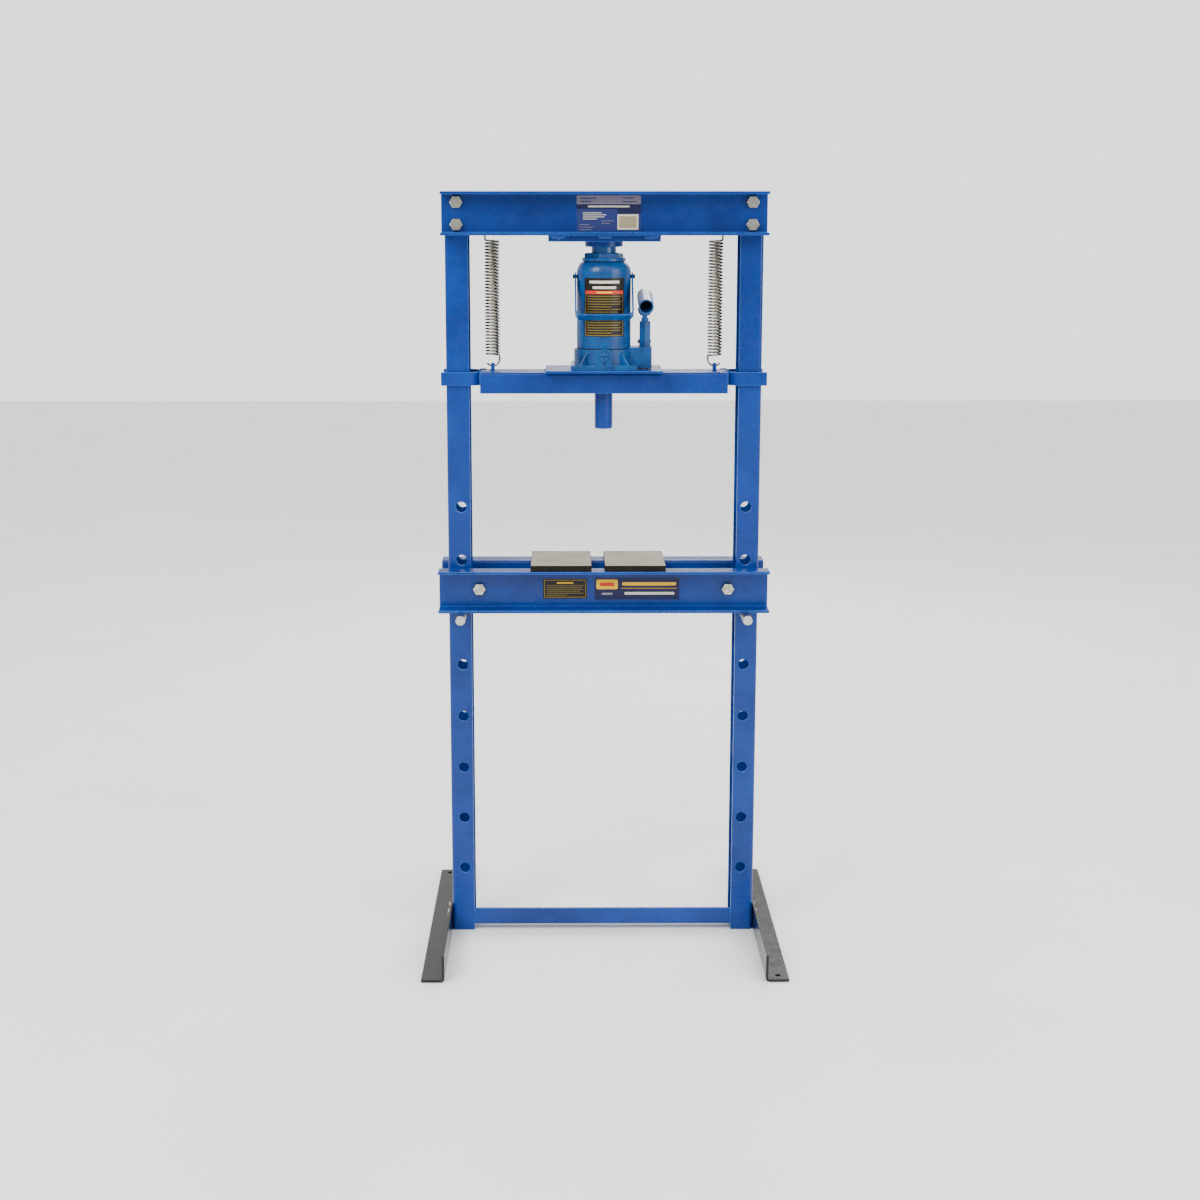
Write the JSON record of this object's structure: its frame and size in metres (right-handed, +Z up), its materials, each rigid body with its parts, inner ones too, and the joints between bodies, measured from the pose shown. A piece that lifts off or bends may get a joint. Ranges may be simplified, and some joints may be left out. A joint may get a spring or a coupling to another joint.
{
  "type": "hydraulic shop press",
  "caption": "Floor-standing H-frame workshop press: a bottle jack on a sprung bolster pushes a round punch down onto a height-adjustable bed.",
  "frame": {"origin": "on the floor, midway between the posts and midway along the feet", "axes": "+Z up, +X to the operator's right, -Y towards the operator"},
  "size_m": [0.596, 0.5, 1.26],
  "materials": {
    "frame_enamel": "gloss blue enamel",
    "jack_enamel": "gloss blue enamel, slightly greener",
    "foot_enamel": "gloss black enamel",
    "zinc_plate": "bright zinc plate",
    "plate_steel": "flame-cut plate, cleaned face",
    "bar_steel": "cold drawn bar",
    "ground_steel": "ground",
    "black_steel": "black oxide",
    "seal_rubber": "nitrile rubber"
  },
  "bodies": {
    "frame": {"left_post": "frame_enamel", "right_post": "frame_enamel", "top_beam_front": "frame_enamel", "top_beam_rear": "frame_enamel", "top_beam_bolts": "zinc_plate", "top_beam_washers": "zinc_plate", "top_beam_nuts": "zinc_plate", "jack_stop_plate": "frame_enamel", "stop_plate_welds": "frame_enamel", "jack_locating_ring": "frame_enamel", "spring_hanger_rods": "frame_enamel", "lower_crossbar": "frame_enamel", "left_foot": "foot_enamel", "right_foot": "foot_enamel", "foot_bolts": "zinc_plate", "foot_nuts": "zinc_plate", "left_spring": "zinc_plate", "right_spring": "zinc_plate"},
    "bed": {"bed_channel_front": "frame_enamel", "bed_channel_rear": "frame_enamel", "bed_spacers": "zinc_plate", "bed_bolts": "zinc_plate", "bed_nuts": "zinc_plate"},
    "left_pin": {"left_bed_pin": "bar_steel"},
    "right_pin": {"right_bed_pin": "bar_steel"},
    "left_plate": {"left_arbor_plate": "plate_steel"},
    "right_plate": {"right_arbor_plate": "plate_steel"},
    "carriage": {"bolster_beam": "frame_enamel", "jack_seat_plate": "frame_enamel", "left_front_guide_bar": "frame_enamel", "left_rear_guide_bar": "frame_enamel", "right_front_guide_bar": "frame_enamel", "right_rear_guide_bar": "frame_enamel", "press_punch": "frame_enamel", "spring_eyes": "frame_enamel", "jack_base": "jack_enamel", "check_valve_balls": "ground_steel", "jack_tank": "jack_enamel", "tank_gaskets": "seal_rubber", "pressure_cylinder": "ground_steel", "jack_cap_nut": "jack_enamel", "pump_cylinder": "jack_enamel", "pump_seal": "seal_rubber", "oil_filler_plug": "jack_enamel", "bail_rivets": "black_steel", "link_foot_pin": "black_steel"},
    "ram": {"jack_ram": "ground_steel", "piston_seal": "seal_rubber", "extension_screw": "jack_enamel"},
    "valve": {"release_valve": "jack_enamel"},
    "plunger": {"pump_plunger": "ground_steel"},
    "socket": {"handle_socket": "jack_enamel", "socket_pins": "black_steel"},
    "link": {"pump_link": "jack_enamel"},
    "bail": {"carry_bail": "jack_enamel"}
  },
  "joints": [
    {"name": "press_stroke", "type": "slide", "parent": "frame", "child": "carriage", "axis": [0, 0, -1], "range_m": [0, 0.11], "stiffness_N_per_m": 2400, "springref_m": -0.09, "deforming": ["left_spring", "right_spring"]},
    {"name": "ram_extend", "type": "slide", "parent": "carriage", "child": "ram", "axis": [0, 0, 1], "range_m": [0, 0.11]},
    {"name": "release_turn", "type": "hinge", "parent": "carriage", "child": "valve", "pos_m": [0, -0.056, 0.9952], "axis": [0, -1, 0], "range_deg": [0, 180]},
    {"name": "pump_stroke", "type": "slide", "parent": "carriage", "child": "plunger", "axis": [0, 0, 1], "range_m": [0, 0.014]},
    {"name": "socket_tilt", "type": "hinge", "parent": "plunger", "child": "socket", "pos_m": [0.068, -0.004, 1.0657], "axis": [-1, 0, 0], "range_deg": [0, 36.51]},
    {"name": "link_swing", "type": "hinge", "parent": "carriage", "child": "link", "pos_m": [0.068, 0.018, 1.0147], "axis": [1, 0, 0], "range_deg": [0, 3.42]},
    {"name": "bail_swing", "type": "hinge", "parent": "carriage", "child": "bail", "pos_m": [0, 0, 1.1227], "axis": [-1, 0, 0], "range_deg": [0, 75]},
    {"name": "bed_lift", "type": "slide", "parent": "frame", "child": "bed", "axis": [0, 0, 1], "range_m": [0, 0.09]},
    {"name": "left_pin_draw", "type": "slide", "parent": "frame", "child": "left_pin", "axis": [0, -1, 0], "range_m": [0, 0.18]},
    {"name": "right_pin_draw", "type": "slide", "parent": "frame", "child": "right_pin", "axis": [0, -1, 0], "range_m": [0, 0.18]},
    {"name": "left_plate_shift", "type": "slide", "parent": "bed", "child": "left_plate", "axis": [1, 0, 0], "range_m": [-0.09, 0.01]},
    {"name": "right_plate_shift", "type": "slide", "parent": "bed", "child": "right_plate", "axis": [1, 0, 0], "range_m": [-0.01, 0.09]}
  ],
  "couplings": [
    {"joint": "ram_extend", "follows": "press_stroke", "ratio": 1},
    {"joint": "socket_tilt", "follows": "pump_stroke", "rad_per_m": 45.455},
    {"joint": "link_swing", "follows": "pump_stroke", "rad_per_m": 4.2017}
  ]
}
